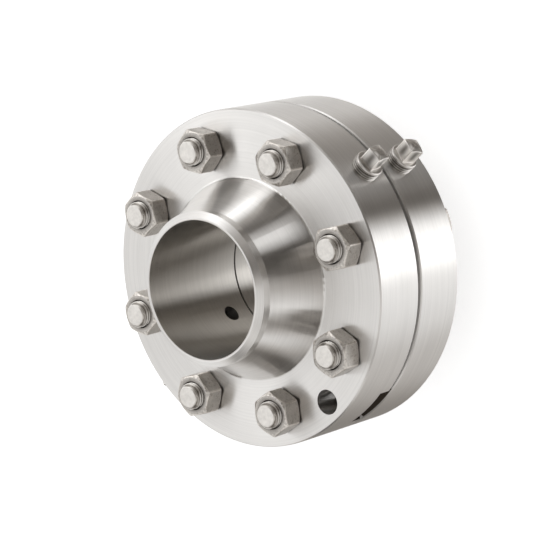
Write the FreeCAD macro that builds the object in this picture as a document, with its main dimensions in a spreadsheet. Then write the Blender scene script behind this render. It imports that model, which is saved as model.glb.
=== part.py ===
import FreeCAD, Part
import os
import Sketcher

# Orifice flange union: two weld-neck flanges bolted face to face round a ring gasket.
# Each flange has two plugged pressure taps in its rim, and a hole and a nut slot for a jack screw.
# Millimetres. +Z runs along the pipe axis. The origin is the centre of the lower weld end, on which
# the union stands. The taps lie along +X and -X.

DRIVING_SIZES = [
    # the flange ring
    ("flange_diameter", 252, "outside of the rim"),
    ("flange_thickness", 44, "width of the rim, without the raised face"),
    ("rim_chamfer", 1, "broken edge of the rim"),
    ("raised_face_diameter", 157.2, "face that the gasket seals on"),
    ("raised_face_height", 0.8, "how far that face stands proud"),
    # the neck
    ("weld_end_diameter", 114.3, "outside of the pipe"),
    ("pipe_wall", 6, "thickness of the pipe"),
    ("root_face", 1.6, "flat left at the weld end"),
    ("bevel_angle", 37.5, "slope of the weld bevel, in degrees from the end face"),
    ("land_length", 6.5, "straight length behind the bevel"),
    ("hub_length", 48.5, "back of the rim to the weld end"),
    ("hub_base_diameter", 150, "foot of the cone"),
    ("hub_fillet", 2, "radius at the foot of the cone"),
    # the gasket
    ("gasket_thickness", 1.6, "squeezed thickness"),
    ("gasket_setback", 1, "how far the gasket stays back from the bore"),
    ("gasket_stud_gap", 1.1, "between the gasket's edge and the studs"),
    # the bolting
    ("bolt_edge", 25.9, "middle of each stud to the rim"),
    ("bolt_count", 8, "studs"),
    ("stud_diameter", 20, "over the thread"),
    ("stud_chamfer", 1.5, "at both ends"),
    ("stud_protrusion", 5.5, "beyond each nut"),
    ("stud_clearance", 1.1, "between the stud and its hole, on the radius"),
    ("nut_flats", 30, "across the flats"),
    ("nut_height", 16, "between the nut's faces"),
    ("nut_face_diameter", 28.4, "flat left on each face inside the chamfer"),
    ("nut_chamfer_angle", 30, "slope of the chamfer, in degrees from the face"),
    ("nut_countersink", 0.8, "depth of the countersink at each end of the thread"),
    ("thread_clearance", 0.1, "between mating threads, on the radius"),
    # the pressure taps and their plugs
    ("tap_offset", 18.5, "joint edge of the rim to the middle of the tap"),
    ("tap_bore_diameter", 12.7, "hole into the pipe"),
    ("tap_thread_diameter", 21.2, "pipe thread at the rim"),
    ("tap_thread_depth", 22, "length of the threaded part"),
    ("pipe_thread_taper", 0.0625, "loss of diameter along a pipe thread"),
    ("plug_end_chamfer", 1, "at the inner end of the plug"),
    ("plug_engagement", 14, "length of plug inside the rim"),
    ("plug_thread_exposed", 5.6, "length of thread outside the rim"),
    ("plug_collar_height", 2.4, "plain collar above the thread"),
    ("plug_collar_round", 1.6, "radius round the collar's edges"),
    ("plug_head_flats", 12.2, "across the square head"),
    ("plug_head_height", 12.5, "square head above the collar"),
    ("plug_head_crown", 1.5, "how far the end of the head slopes down to its corners"),
    # the jack screw's hole and slot
    ("jack_hole_diameter", 18.5, "clearance hole for the jack screw"),
    ("jack_hole_edge", 14.7, "middle of the hole to the rim"),
    ("jack_slot_width", 37, "slot for the jack screw's nut"),
    ("jack_slot_depth", 11, "depth of the slot in the rim's joint side"),
    ("jack_slot_reach", 17.3, "from the hole's middle inwards to the end of the slot"),
    ("jack_slot_corner", 5, "radius in the slot's inner corners"),
]

# Turn of each nut when tight, in degrees, going round from the first stud past the +X tap.
UPPER_NUT_TURNS = (5, 8, 58, 5, 33, 54, 50, 31)
LOWER_NUT_TURNS = (22, 49, 13, 37, 2, 44, 28, 4)
# Turn of each square plug head, in degrees, and how much further in each plug is screwed.
# The order is upper +X, upper -X, lower +X, lower -X.
PLUG_TURNS = (6, 33, -13, -31)
PLUG_SINKS = (0, 2.6, 0, 1.5)

doc = FreeCAD.newDocument("orifice_flange")
sheet = doc.addObject("Spreadsheet::Sheet", "Sizes")
for row, (alias, number, note) in enumerate(DRIVING_SIZES, start=1):
    sheet.set(f"A{row}", alias.replace("_", " "))
    sheet.set(f"B{row}", str(number))
    sheet.setAlias(f"B{row}", alias)
    sheet.set(f"C{row}", note)
doc.recompute()

# How far a cutter reaches past the metal.
PAST = 1

# Sizes worked out from the driving ones.
RING_TOP = "(Sizes.raised_face_height + Sizes.flange_thickness)"
FLANGE_LENGTH = f"({RING_TOP} + Sizes.hub_length)"
BORE_RADIUS = "(Sizes.weld_end_diameter / 2 - Sizes.pipe_wall)"
BEVEL_HEIGHT = "((Sizes.pipe_wall - Sizes.root_face) * tan(Sizes.bevel_angle))"
TAP_HEIGHT = "(Sizes.raised_face_height + Sizes.tap_offset)"
BOLT_RADIUS = "(Sizes.flange_diameter / 2 - Sizes.bolt_edge)"
JACK_RADIUS = "(Sizes.flange_diameter / 2 - Sizes.jack_hole_edge)"
BOLT_HOLE_DIAMETER = "(Sizes.stud_diameter + 2 * Sizes.stud_clearance)"
BOLT_PITCH = "(360 / Sizes.bolt_count)"
LOWER_JOINT = FLANGE_LENGTH
UPPER_JOINT = f"({FLANGE_LENGTH} + Sizes.gasket_thickness)"
LOWER_NUT_SEAT = "Sizes.hub_length"
UPPER_NUT_SEAT = f"({UPPER_JOINT} + {RING_TOP})"
STUD_LENGTH = f"(2 * ({RING_TOP} + Sizes.nut_height + Sizes.stud_protrusion) + Sizes.gasket_thickness)"

sub_parts = []


def number(expression):
    """The value of an expression over the sheet."""
    result = sheet.evalExpression(expression)
    return float(getattr(result, "Value", result))


def new_body(label):
    """An empty body for one sub-part."""
    body = doc.addObject("PartDesign::Body", label)
    body.Label = label
    sub_parts.append(body)
    return body


def origin_feature(body, role):
    """One of the body's own origin planes or axes."""
    return next(item for item in body.Origin.OriginFeatures if item.Role == role)


def new_sketch(body, name, role):
    """A sketch on one of the body's origin planes."""
    sketch = body.newObject("Sketcher::SketchObject", name)
    sketch.AttachmentSupport = (origin_feature(body, role), [""])
    sketch.MapMode = "FlatFace"
    return sketch


def hold(sketch, kind, geometry, point, expression):
    """Hold a point of the sketch at a distance from the origin that follows an expression."""
    constraint = Sketcher.Constraint(kind, -1, 1, geometry, point, number(expression))
    index = sketch.addConstraint(constraint)
    sketch.setExpression(f"Constraints[{index}]", expression)


def outline(sketch, corners):
    """A closed outline of straight edges through corners given as pairs of expressions."""
    points = [FreeCAD.Vector(number(across), number(up), 0) for across, up in corners]
    count = len(points)
    for index, point in enumerate(points):
        sketch.addGeometry(Part.LineSegment(point, points[(index + 1) % count]), False)
    for index, (across, up) in enumerate(corners):
        sketch.addConstraint(Sketcher.Constraint("Coincident", index, 2, (index + 1) % count, 1))
        hold(sketch, "DistanceX", index, 1, across)
        hold(sketch, "DistanceY", index, 1, up)


def centre_line(sketch, start, end):
    """A construction line for a feature to turn about, between two pairs of expressions."""
    first = FreeCAD.Vector(number(start[0]), number(start[1]), 0)
    last = FreeCAD.Vector(number(end[0]), number(end[1]), 0)
    index = sketch.addGeometry(Part.LineSegment(first, last), True)
    for point, (across, up) in ((1, start), (2, end)):
        hold(sketch, "DistanceX", index, point, across)
        hold(sketch, "DistanceY", index, point, up)


def circle(sketch, across, up, diameter):
    """A circle whose centre and diameter follow expressions."""
    centre = FreeCAD.Vector(number(across), number(up), 0)
    round_edge = Part.Circle(centre, FreeCAD.Vector(0, 0, 1), number(diameter) / 2)
    index = sketch.addGeometry(round_edge, False)
    hold(sketch, "DistanceX", index, 3, across)
    hold(sketch, "DistanceY", index, 3, up)
    size = sketch.addConstraint(Sketcher.Constraint("Diameter", index, number(diameter)))
    sketch.setExpression(f"Constraints[{size}]", diameter)


def revolve(body, sketch, name, kind="PartDesign::Revolution", axis="V_Axis"):
    """Turn a sketch a full circle, as metal or as a cut."""
    feature = body.newObject(kind, name)
    feature.Profile = sketch
    feature.ReferenceAxis = (sketch, [axis])
    feature.Angle = 360
    doc.recompute()
    return feature


def pad(body, sketch, name, length):
    """Metal of a given length above a sketch."""
    feature = body.newObject("PartDesign::Pad", name)
    feature.Profile = sketch
    feature.setExpression("Length", length)
    doc.recompute()
    return feature


def pocket(body, sketch, name, depth=None):
    """A cut upwards from a sketch, to a depth or right through."""
    feature = body.newObject("PartDesign::Pocket", name)
    feature.Profile = sketch
    feature.Reversed = True
    if depth is None:
        feature.Type = "ThroughAll"
    else:
        feature.setExpression("Length", depth)
    doc.recompute()
    return feature


def pattern_round(body, feature, name, count):
    """Repeat a cut evenly round the body's Z axis."""
    pattern = body.newObject("PartDesign::PolarPattern", name)
    pattern.Originals = [feature]
    pattern.Axis = (origin_feature(body, "Z_Axis"), [""])
    pattern.Angle = 360
    pattern.setExpression("Occurrences", count)
    body.Tip = pattern
    doc.recompute()
    return pattern


def fillet(body, base, name, radius, wanted):
    """Round the edges of a feature that a test picks out."""
    edges = base.Shape.Edges
    chosen = [f"Edge{index}" for index, edge in enumerate(edges, start=1) if wanted(edge)]
    feature = body.newObject("PartDesign::Fillet", name)
    feature.Base = (base, chosen)
    feature.setExpression("Radius", radius)
    doc.recompute()
    return feature


def is_circle_at(edge, radius, height):
    """True for a full circle about the Z axis at a height."""
    curve = edge.Curve
    if not isinstance(curve, Part.Circle):
        return False
    return abs(curve.Radius - radius) < 1e-3 and abs(curve.Center.z - height) < 1e-3


def place(body, across, along, up, turn=None, axis=FreeCAD.Vector(0, 0, 1)):
    """Put a body at expressions for X, Y and Z, turned about an axis by an expression in degrees."""
    if turn is not None:
        body.Placement = FreeCAD.Placement(FreeCAD.Vector(), FreeCAD.Rotation(axis, 1))
        body.setExpression("Placement.Rotation.Angle", turn)
    body.setExpression("Placement.Base.x", across)
    body.setExpression("Placement.Base.y", along)
    body.setExpression("Placement.Base.z", up)


def bolt_place(index):
    """Expressions for where a stud stands on the bolt circle."""
    angle = f"(({index} + 0.5) * {BOLT_PITCH})"
    return f"{BOLT_RADIUS} * cos({angle})", f"{BOLT_RADIUS} * sin({angle})"


def make_flange(label):
    """One forging, turned all over. Its joint face is at Z 0 and its neck points up."""
    body = new_body(label)
    rim = "Sizes.flange_diameter / 2"
    inner_rim = "Sizes.flange_diameter / 2 - Sizes.rim_chamfer"
    pipe = "Sizes.weld_end_diameter / 2"
    section = new_sketch(body, label + "_section", "XZ_Plane")
    outline(section, [
        (BORE_RADIUS, "0"),
        ("Sizes.raised_face_diameter / 2", "0"),
        ("Sizes.raised_face_diameter / 2", "Sizes.raised_face_height"),
        (inner_rim, "Sizes.raised_face_height"),
        (rim, "Sizes.raised_face_height + Sizes.rim_chamfer"),
        (rim, f"{RING_TOP} - Sizes.rim_chamfer"),
        (inner_rim, RING_TOP),
        ("Sizes.hub_base_diameter / 2", RING_TOP),
        (pipe, f"{FLANGE_LENGTH} - {BEVEL_HEIGHT} - Sizes.land_length"),
        (pipe, f"{FLANGE_LENGTH} - {BEVEL_HEIGHT}"),
        (f"{BORE_RADIUS} + Sizes.root_face", FLANGE_LENGTH),
        (BORE_RADIUS, FLANGE_LENGTH),
    ])
    turned = revolve(body, section, label + "_turned")

    foot_radius = number("Sizes.hub_base_diameter / 2")
    foot_height = number(RING_TOP)
    fillet(body, turned, label + "_hub_fillet", "Sizes.hub_fillet",
           lambda edge: is_circle_at(edge, foot_radius, foot_height))

    hole = new_sketch(body, label + "_bolt_hole", "XY_Plane")
    across, along = bolt_place(0)
    circle(hole, across, along, BOLT_HOLE_DIAMETER)
    drilled = pocket(body, hole, label + "_drilled")
    pattern_round(body, drilled, label + "_bolt_holes", "Sizes.bolt_count")

    tap = new_sketch(body, label + "_tap_section", "XZ_Plane")
    inside = f"{BORE_RADIUS} / 2"
    outside = f"Sizes.flange_diameter / 2 + {PAST}"
    thread_end = "Sizes.flange_diameter / 2 - Sizes.tap_thread_depth"
    mouth = f"{TAP_HEIGHT} + (Sizes.tap_thread_diameter + {PAST} * Sizes.pipe_thread_taper) / 2"
    narrow = "(Sizes.tap_thread_diameter - Sizes.tap_thread_depth * Sizes.pipe_thread_taper) / 2"
    drill_point = f"({narrow} - Sizes.tap_bore_diameter / 2) / 2"
    outline(tap, [
        (inside, TAP_HEIGHT),
        (inside, f"{TAP_HEIGHT} + Sizes.tap_bore_diameter / 2"),
        (f"{thread_end} - {drill_point}", f"{TAP_HEIGHT} + Sizes.tap_bore_diameter / 2"),
        (thread_end, f"{TAP_HEIGHT} + {narrow}"),
        (outside, mouth),
        (outside, TAP_HEIGHT),
    ])
    centre_line(tap, (inside, TAP_HEIGHT), (outside, TAP_HEIGHT))
    tapped = revolve(body, tap, label + "_tapped", "PartDesign::Groove", "Axis0")
    pattern_round(body, tapped, label + "_taps", "2")

    jack = new_sketch(body, label + "_jack_hole", "XY_Plane")
    circle(jack, "0", f"-{JACK_RADIUS}", "Sizes.jack_hole_diameter")
    pocket(body, jack, label + "_jack_drilled")

    slot = new_sketch(body, label + "_jack_slot", "XY_Plane")
    half_slot = "Sizes.jack_slot_width / 2"
    slot_end = f"Sizes.jack_slot_reach - {JACK_RADIUS}"
    beyond_rim = f"-Sizes.flange_diameter / 2 - {PAST}"
    outline(slot, [
        (f"-{half_slot}", beyond_rim),
        (half_slot, beyond_rim),
        (half_slot, slot_end),
        (f"-{half_slot}", slot_end),
    ])
    milled = pocket(body, slot, label + "_slot_milled", "Sizes.raised_face_height + Sizes.jack_slot_depth")

    corner_across = number(half_slot)
    corner_along = number(slot_end)

    def is_slot_corner(edge):
        middle = edge.CenterOfMass
        upright = isinstance(edge.Curve, Part.Line) and abs(edge.Curve.Direction.z) > 0.999
        return (upright and abs(abs(middle.x) - corner_across) < 1e-3
                and abs(middle.y - corner_along) < 1e-3)

    fillet(body, milled, label + "_slot_corners", "Sizes.jack_slot_corner", is_slot_corner)
    return body


def make_gasket():
    """The flat ring between the raised faces."""
    body = new_body("ring_gasket")
    ring = new_sketch(body, "gasket_ring", "XY_Plane")
    edge = f"{BOLT_RADIUS} - Sizes.stud_diameter / 2 - Sizes.gasket_stud_gap"
    circle(ring, "0", "0", f"2 * ({edge})")
    circle(ring, "0", "0", f"2 * ({BORE_RADIUS} + Sizes.gasket_setback)")
    pad(body, ring, "gasket_sheet", "Sizes.gasket_thickness")
    place(body, "0", "0", LOWER_JOINT)


def make_stud(index):
    """A stud with chamfered ends, threaded over its whole length."""
    label = f"stud_{index + 1}"
    body = new_body(label)
    side = "Sizes.stud_diameter / 2"
    face = "Sizes.stud_diameter / 2 - Sizes.stud_chamfer"
    section = new_sketch(body, label + "_section", "XZ_Plane")
    outline(section, [
        ("0", "0"),
        (face, "0"),
        (side, "Sizes.stud_chamfer"),
        (side, f"{STUD_LENGTH} - Sizes.stud_chamfer"),
        (face, STUD_LENGTH),
        ("0", STUD_LENGTH),
    ])
    revolve(body, section, label + "_turned")
    across, along = bolt_place(index)
    place(body, across, along, f"{LOWER_NUT_SEAT} - Sizes.nut_height - Sizes.stud_protrusion")


def make_nut(label, index, up, turn):
    """A hexagon nut chamfered on both faces, with its lower face at Z 0."""
    body = new_body(label)
    corner = "Sizes.nut_flats / 2 / cos(30)"
    hexagon = new_sketch(body, label + "_hexagon", "XY_Plane")
    outline(hexagon, [(f"{corner} * cos({side} * 60)", f"{corner} * sin({side} * 60)")
                      for side in range(6)])
    pad(body, hexagon, label + "_blank", "Sizes.nut_height")

    chamfer = new_sketch(body, label + "_chamfer", "XZ_Plane")
    face = "Sizes.nut_face_diameter / 2"
    outside = "Sizes.nut_flats"
    drop = f"({outside} - {face}) * tan(Sizes.nut_chamfer_angle)"
    outline(chamfer, [
        (face, "Sizes.nut_height"),
        (face, f"Sizes.nut_height + {PAST}"),
        (f"{outside} + {PAST}", f"Sizes.nut_height + {PAST}"),
        (f"{outside} + {PAST}", f"-{PAST}"),
        (face, f"-{PAST}"),
        (face, "0"),
        (outside, drop),
        (outside, f"Sizes.nut_height - {drop}"),
    ])
    revolve(body, chamfer, label + "_chamfered", "PartDesign::Groove")

    thread = new_sketch(body, label + "_thread", "XZ_Plane")
    bore = "Sizes.stud_diameter / 2 + Sizes.thread_clearance"
    mouth = f"{bore} + Sizes.nut_countersink"
    outline(thread, [
        ("0", "0"),
        (mouth, "0"),
        (bore, "Sizes.nut_countersink"),
        (bore, "Sizes.nut_height - Sizes.nut_countersink"),
        (mouth, "Sizes.nut_height"),
        ("0", "Sizes.nut_height"),
    ])
    revolve(body, thread, label + "_threaded", "PartDesign::Groove")
    across, along = bolt_place(index)
    place(body, across, along, up, str(turn))


def make_plug(label, side, up, turn, sink):
    """A taper plug with a collar and a square head. Its Z 0 is level with the rim."""
    body = new_body(label)
    shank = "Sizes.tap_thread_diameter / 2 - Sizes.thread_clearance"
    inner = f"{shank} - Sizes.plug_engagement * Sizes.pipe_thread_taper / 2"
    collar_foot = "Sizes.plug_thread_exposed"
    collar_top = f"({collar_foot} + Sizes.plug_collar_height)"
    outer = f"{shank} + {collar_foot} * Sizes.pipe_thread_taper / 2"
    section = new_sketch(body, label + "_section", "XZ_Plane")
    outline(section, [
        ("0", "-Sizes.plug_engagement"),
        (f"{inner} - Sizes.plug_end_chamfer", "-Sizes.plug_engagement"),
        (inner, "Sizes.plug_end_chamfer - Sizes.plug_engagement"),
        (outer, collar_foot),
        (outer, collar_top),
        ("0", collar_top),
    ])
    shank_turned = revolve(body, section, label + "_turned")
    rim_radius = number(outer)
    rim_height = number(collar_top)
    fillet(body, shank_turned, label + "_collar", "Sizes.plug_collar_round",
           lambda edge: is_circle_at(edge, rim_radius, rim_height))

    square = new_sketch(body, label + "_square", "XY_Plane")
    half = "Sizes.plug_head_flats / 2"
    outline(square, [(f"-{half}", f"-{half}"), (half, f"-{half}"), (half, half), (f"-{half}", half)])
    pad(body, square, label + "_head", f"{collar_top} + Sizes.plug_head_height")

    # The cutter slopes from half way to the flats down past the corners, to twice their drop.
    crown = new_sketch(body, label + "_crown", "XZ_Plane")
    head_top = f"{collar_top} + Sizes.plug_head_height"
    start = f"{half} / 2"
    past_corner = f"2 * {half} * sqrt(2) - {start}"
    outline(crown, [
        (start, head_top),
        (past_corner, head_top),
        (past_corner, f"{head_top} - 2 * Sizes.plug_head_crown"),
    ])
    revolve(body, crown, label + "_crowned", "PartDesign::Groove")

    # The plug's own Z turns to point out of the tap, and the head turns about it.
    outwards = FreeCAD.Rotation(FreeCAD.Vector(0, 1, 0), 90 * side)
    about_own_axis = FreeCAD.Rotation(FreeCAD.Vector(0, 0, 1), turn)
    body.Placement = FreeCAD.Placement(FreeCAD.Vector(), outwards.multiply(about_own_axis))
    body.setExpression("Placement.Base.x", f"{side} * (Sizes.flange_diameter / 2 - {sink})")
    body.setExpression("Placement.Base.z", up)


lower_flange = make_flange("lower_flange")
place(lower_flange, "0", "0", LOWER_JOINT, "180", FreeCAD.Vector(1, 0, 0))
upper_flange = make_flange("upper_flange")
place(upper_flange, "0", "0", UPPER_JOINT)
make_gasket()

for stud_index in range(int(number("Sizes.bolt_count"))):
    make_stud(stud_index)
    upper_turn = UPPER_NUT_TURNS[stud_index % len(UPPER_NUT_TURNS)]
    lower_turn = LOWER_NUT_TURNS[stud_index % len(LOWER_NUT_TURNS)]
    make_nut(f"upper_nut_{stud_index + 1}", stud_index, UPPER_NUT_SEAT, upper_turn)
    make_nut(f"lower_nut_{stud_index + 1}", stud_index,
             f"{LOWER_NUT_SEAT} - Sizes.nut_height", lower_turn)

upper_tap = f"{UPPER_JOINT} + {TAP_HEIGHT}"
lower_tap = f"{LOWER_JOINT} - {TAP_HEIGHT}"
make_plug("upper_tap_plug_1", 1, upper_tap, PLUG_TURNS[0], PLUG_SINKS[0])
make_plug("upper_tap_plug_2", -1, upper_tap, PLUG_TURNS[1], PLUG_SINKS[1])
make_plug("lower_tap_plug_1", 1, lower_tap, PLUG_TURNS[2], PLUG_SINKS[2])
make_plug("lower_tap_plug_2", -1, lower_tap, PLUG_TURNS[3], PLUG_SINKS[3])
doc.recompute()

CUTS = ("PartDesign::Pocket", "PartDesign::Groove", "PartDesign::PolarPattern")
for item in doc.Objects:
    if "Invalid" in item.State or "Error" in item.State:
        raise RuntimeError(f"{item.Label} did not recompute: {item.State}")
    if item.TypeId in CUTS and not item.Shape.Volume < item.BaseFeature.Shape.Volume:
        raise RuntimeError(f"{item.Label} removes nothing")
for body in sub_parts:
    if body.Shape.isNull() or not body.Shape.isValid() or len(body.Shape.Solids) != 1:
        raise RuntimeError(f"{body.Label} is not one sound solid")

os.makedirs("parts", exist_ok=True)
for body in sub_parts:
    body.Shape.exportStep(f"parts/{body.Label}.step")
    print(body.Label, "volume %.0f mm3" % body.Shape.Volume)
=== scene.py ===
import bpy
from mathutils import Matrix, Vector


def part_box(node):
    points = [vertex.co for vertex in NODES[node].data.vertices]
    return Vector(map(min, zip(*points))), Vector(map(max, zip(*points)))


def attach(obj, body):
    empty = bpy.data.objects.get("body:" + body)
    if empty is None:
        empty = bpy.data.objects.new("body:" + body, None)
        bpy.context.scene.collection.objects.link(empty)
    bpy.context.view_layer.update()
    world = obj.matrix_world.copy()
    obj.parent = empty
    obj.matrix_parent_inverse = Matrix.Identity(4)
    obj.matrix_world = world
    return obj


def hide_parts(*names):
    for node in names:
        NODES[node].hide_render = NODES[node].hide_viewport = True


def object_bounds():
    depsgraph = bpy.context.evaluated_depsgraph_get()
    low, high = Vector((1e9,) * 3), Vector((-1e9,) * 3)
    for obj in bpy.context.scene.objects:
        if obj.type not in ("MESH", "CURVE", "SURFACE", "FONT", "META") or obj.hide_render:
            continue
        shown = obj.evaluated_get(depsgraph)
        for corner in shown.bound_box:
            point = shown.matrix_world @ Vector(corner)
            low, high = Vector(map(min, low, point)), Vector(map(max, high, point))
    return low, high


bl_info = {
    "name": "Orifice flange union",
    "version": (1, 0, 0),
    "blender": (4, 5, 0),
    "location": "View3D > Sidebar > Flange union",
    "description": "Dresses the flange union with threads, rounded nuts and plugs, and brushed steel",
    "category": "Object",
}

import math

import bmesh
import bpy
import numpy as np
from bpy.props import FloatProperty, FloatVectorProperty, IntProperty, PointerProperty
from bpy.types import Operator, Panel, PropertyGroup
from mathutils import Matrix, Vector

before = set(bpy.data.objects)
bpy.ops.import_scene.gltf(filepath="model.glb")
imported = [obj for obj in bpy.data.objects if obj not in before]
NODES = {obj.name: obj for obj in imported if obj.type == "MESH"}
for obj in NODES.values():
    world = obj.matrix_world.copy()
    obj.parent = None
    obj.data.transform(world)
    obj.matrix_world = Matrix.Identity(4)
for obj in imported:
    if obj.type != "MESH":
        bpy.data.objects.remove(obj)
CAD_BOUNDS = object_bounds()
BODY = "root"

TURN = 2 * math.pi
# Numbers of the studs and of the nuts on them.
BOLTS = range(1, 9)
# Height of the middle of the joint.
JOINT_HEIGHT = (CAD_BOUNDS[0][2] + CAD_BOUNDS[1][2]) / 2

# Levels of the attribute root away from the threads, which set painted light and shade: a painted glint
# on an edge, painted shadow at a nut's seat, and painted shade in the middle of a plug's flats and under
# its collar.
PAINTED_GLINT = -1
NUT_SEAT_SHADE = 0.8
PLUG_FLAT_SHADE = 0.85
PLUG_COLLAR_SHADE = 0.7
# Depth over which the painted shade in a nut's countersink fades out.
SINK_FADE = 0.0005

# Sharpness of the corners of the nuts' hexagon and of the plugs' square.
HEXAGON_SHARPNESS = 56
SQUARE_SHARPNESS = 26
# The most that a rounded corner takes of a side, and where the guard points lie past the curve's ends.
SIDE_SHARE = 0.42
GUARD_REACH = 1.15

# Where the finish and the painted shade of the flanges change, as distances in metres. From the pipe
# axis: just outside the bore's wall, a circle clear of the bore, and just inside the edge of the rim.
BORE_EDGE = (0.0513, 0.0521)
CLEAR_OF_BORE = 0.06
RIM_EDGE = (0.125, 0.1253)
# From the middle of the joint: just past a rim's face, the bottom of a nut slot, where the slots'
# painted shade fades out, and where the painted shade in a jack-screw hole starts and is darkest.
GAP_REACH = 0.0018
SLOT_BOTTOM = (0.0121, 0.0127)
JACK_SHADE_SPAN = (0.03, 0.016)
# Just under half a nut slot's width, a jack-screw hole's distance from the pipe axis, and just over the
# hole's radius.
SLOT_HALF_WIDTH = 0.0184
JACK_PLACE = 0.1113
JACK_REACH = 0.0094
# Spacing of the turned rings on a stud's end.
RING_SPACING = 0.0011

# Rows and columns of the floor and the studio walls, and what the lamps face.
STAGE_ROWS = 33
STAGE_COLUMNS = 64
LAMP_TARGET = (0, 0, 0.1)


class SteelSettings(PropertyGroup):
    """Colours and roughness of the metals and the gasket."""

    flange_colour: FloatVectorProperty(
        name="Flange steel", description="Colour of the turned flanges", subtype="COLOR",
        size=3, min=0, max=1, default=(0.75, 0.735, 0.715))
    flange_roughness: FloatProperty(
        name="Flange roughness", description="Roughness across the turning lines", subtype="FACTOR",
        min=0, max=1, default=0.285)
    nut_colour: FloatVectorProperty(
        name="Nut steel", description="Colour of the nuts", subtype="COLOR",
        size=3, min=0, max=1, default=(0.48, 0.455, 0.425))
    nut_roughness: FloatProperty(
        name="Nut roughness", description="Roughness of the nuts", subtype="FACTOR",
        min=0, max=1, default=0.32)
    stud_colour: FloatVectorProperty(
        name="Stud steel", description="Colour of the studs", subtype="COLOR",
        size=3, min=0, max=1, default=(0.72, 0.695, 0.66))
    stud_roughness: FloatProperty(
        name="Stud roughness", description="Roughness of the studs", subtype="FACTOR",
        min=0, max=1, default=0.3)
    plug_colour: FloatVectorProperty(
        name="Plug steel", description="Colour of the tap plugs", subtype="COLOR",
        size=3, min=0, max=1, default=(0.68, 0.655, 0.625))
    plug_roughness: FloatProperty(
        name="Plug roughness", description="Roughness of the tap plugs", subtype="FACTOR",
        min=0, max=1, default=0.3)
    gasket_colour: FloatVectorProperty(
        name="Gasket", description="Colour of the gasket sheet", subtype="COLOR",
        size=3, min=0, max=1, default=(0.055, 0.055, 0.058))


class BoltingSettings(PropertyGroup):
    """Sizes of the threads, studs and nuts that the frame's plain solids leave out."""

    stud_pitch: FloatProperty(
        name="Stud pitch", description="Distance between the studs' thread crests", unit="LENGTH",
        min=0.0005, default=0.0025)
    stud_depth: FloatProperty(
        name="Stud thread depth", description="Crest to root of the studs' thread", unit="LENGTH",
        min=0.0001, default=0.00145)
    stud_chamfer: FloatProperty(
        name="Stud chamfer", description="Chamfer at both ends of a stud", unit="LENGTH",
        min=0.0001, default=0.0023)
    nut_bore: FloatProperty(
        name="Nut bore", description="Radius of the plain bore in a nut", unit="LENGTH",
        min=0.001, default=0.0101)
    nut_countersink: FloatProperty(
        name="Nut countersink", description="Depth of the countersink", unit="LENGTH",
        min=0.0001, default=0.0008)
    nut_face: FloatProperty(
        name="Nut face", description="Radius of the flat on a nut's face", unit="LENGTH",
        min=0.001, default=0.0142)
    nut_chamfer_slope: FloatProperty(
        name="Nut chamfer", description="Slope of the chamfer from the face", subtype="ANGLE",
        default=math.radians(30))
    edge_round: FloatProperty(
        name="Edge rounding", description="Radius on the nuts' forged edges", unit="LENGTH",
        min=0.00005, default=0.0004)


class PlugSettings(PropertyGroup):
    """Sizes of the tap plugs' threads, collars and heads."""

    pitch: FloatProperty(
        name="Plug pitch", description="Distance between the crests of the pipe thread",
        unit="LENGTH", min=0.0005, default=0.001814)
    depth: FloatProperty(
        name="Plug thread depth", description="Crest to root of the pipe thread", unit="LENGTH",
        min=0.0001, default=0.0015)
    taper: FloatProperty(
        name="Taper", description="Gain of radius along the pipe thread", min=0, default=1 / 32)
    shank: FloatProperty(
        name="Shank", description="Radius of the thread where the rim is", unit="LENGTH",
        min=0.001, default=0.0105)
    engagement: FloatProperty(
        name="Engagement", description="Length of the thread from the plug's end to the rim",
        unit="LENGTH", min=0.001, default=0.014)
    collar_foot: FloatProperty(
        name="Collar foot", description="Height of the collar's foot", unit="LENGTH",
        min=0.001, default=0.0056)
    collar_top: FloatProperty(
        name="Collar top", description="Height of the collar's top", unit="LENGTH",
        min=0.001, default=0.008)
    collar_round: FloatProperty(
        name="Collar rounding", description="Radius on the collar's upper edge", unit="LENGTH",
        min=0.0001, default=0.0016)
    flats: FloatProperty(
        name="Flats", description="Size across the square head", unit="LENGTH",
        min=0.001, default=0.0122)
    head_top: FloatProperty(
        name="Head top", description="Height of the head's end", unit="LENGTH",
        min=0.001, default=0.0205)
    crown: FloatProperty(
        name="Crown", description="Drop from the head's end to its corners", unit="LENGTH",
        min=0, default=0.0015)


class StageSettings(PropertyGroup):
    """The camera, the lamps and the floor."""

    camera_place: FloatVectorProperty(
        name="Camera", description="Where the camera stands", subtype="TRANSLATION",
        size=3, default=(1.0185, -0.49942, 1.36466))
    camera_target: FloatVectorProperty(
        name="Camera target", description="What the camera looks at", subtype="TRANSLATION",
        size=3, default=(0.002386, 0.004975, 0.114002))
    camera_roll: FloatProperty(
        name="Camera roll", description="Turn of the camera about its line of sight",
        subtype="ANGLE", default=math.radians(103.665))
    camera_lens: FloatProperty(
        name="Lens", description="Focal length for a 36 mm frame", unit="CAMERA",
        min=1, default=153.56)
    key_power: FloatProperty(
        name="Key lamp", description="Power of the large soft lamp", unit="POWER",
        min=0, default=3.0)
    fill_power: FloatProperty(
        name="Fill lamp", description="Power of the second soft lamp", unit="POWER",
        min=0, default=1.5)
    world_level: FloatProperty(
        name="Surround", description="Level of the light from all round", min=0, default=0.75)
    floor_size: FloatProperty(
        name="Floor", description="Radius of the floor", unit="LENGTH", min=1, default=6.0)
    walls_size: FloatProperty(
        name="Studio walls", description="Radius of the studio walls", unit="LENGTH",
        min=1, default=5.0)


class FinenessSettings(PropertyGroup):
    """How finely the new surfaces are divided."""

    stud_columns: IntProperty(
        name="Stud columns", description="Columns round a stud's thread", min=12, default=40)
    plug_columns: IntProperty(
        name="Plug columns", description="Columns round a plug's thread", min=12, default=96)
    head_columns: IntProperty(
        name="Head columns", description="Columns round a nut and round a plug's head",
        min=12, default=144)


def settings(name):
    """One of the scene's groups of settings."""
    return getattr(bpy.context.scene, name)


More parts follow.
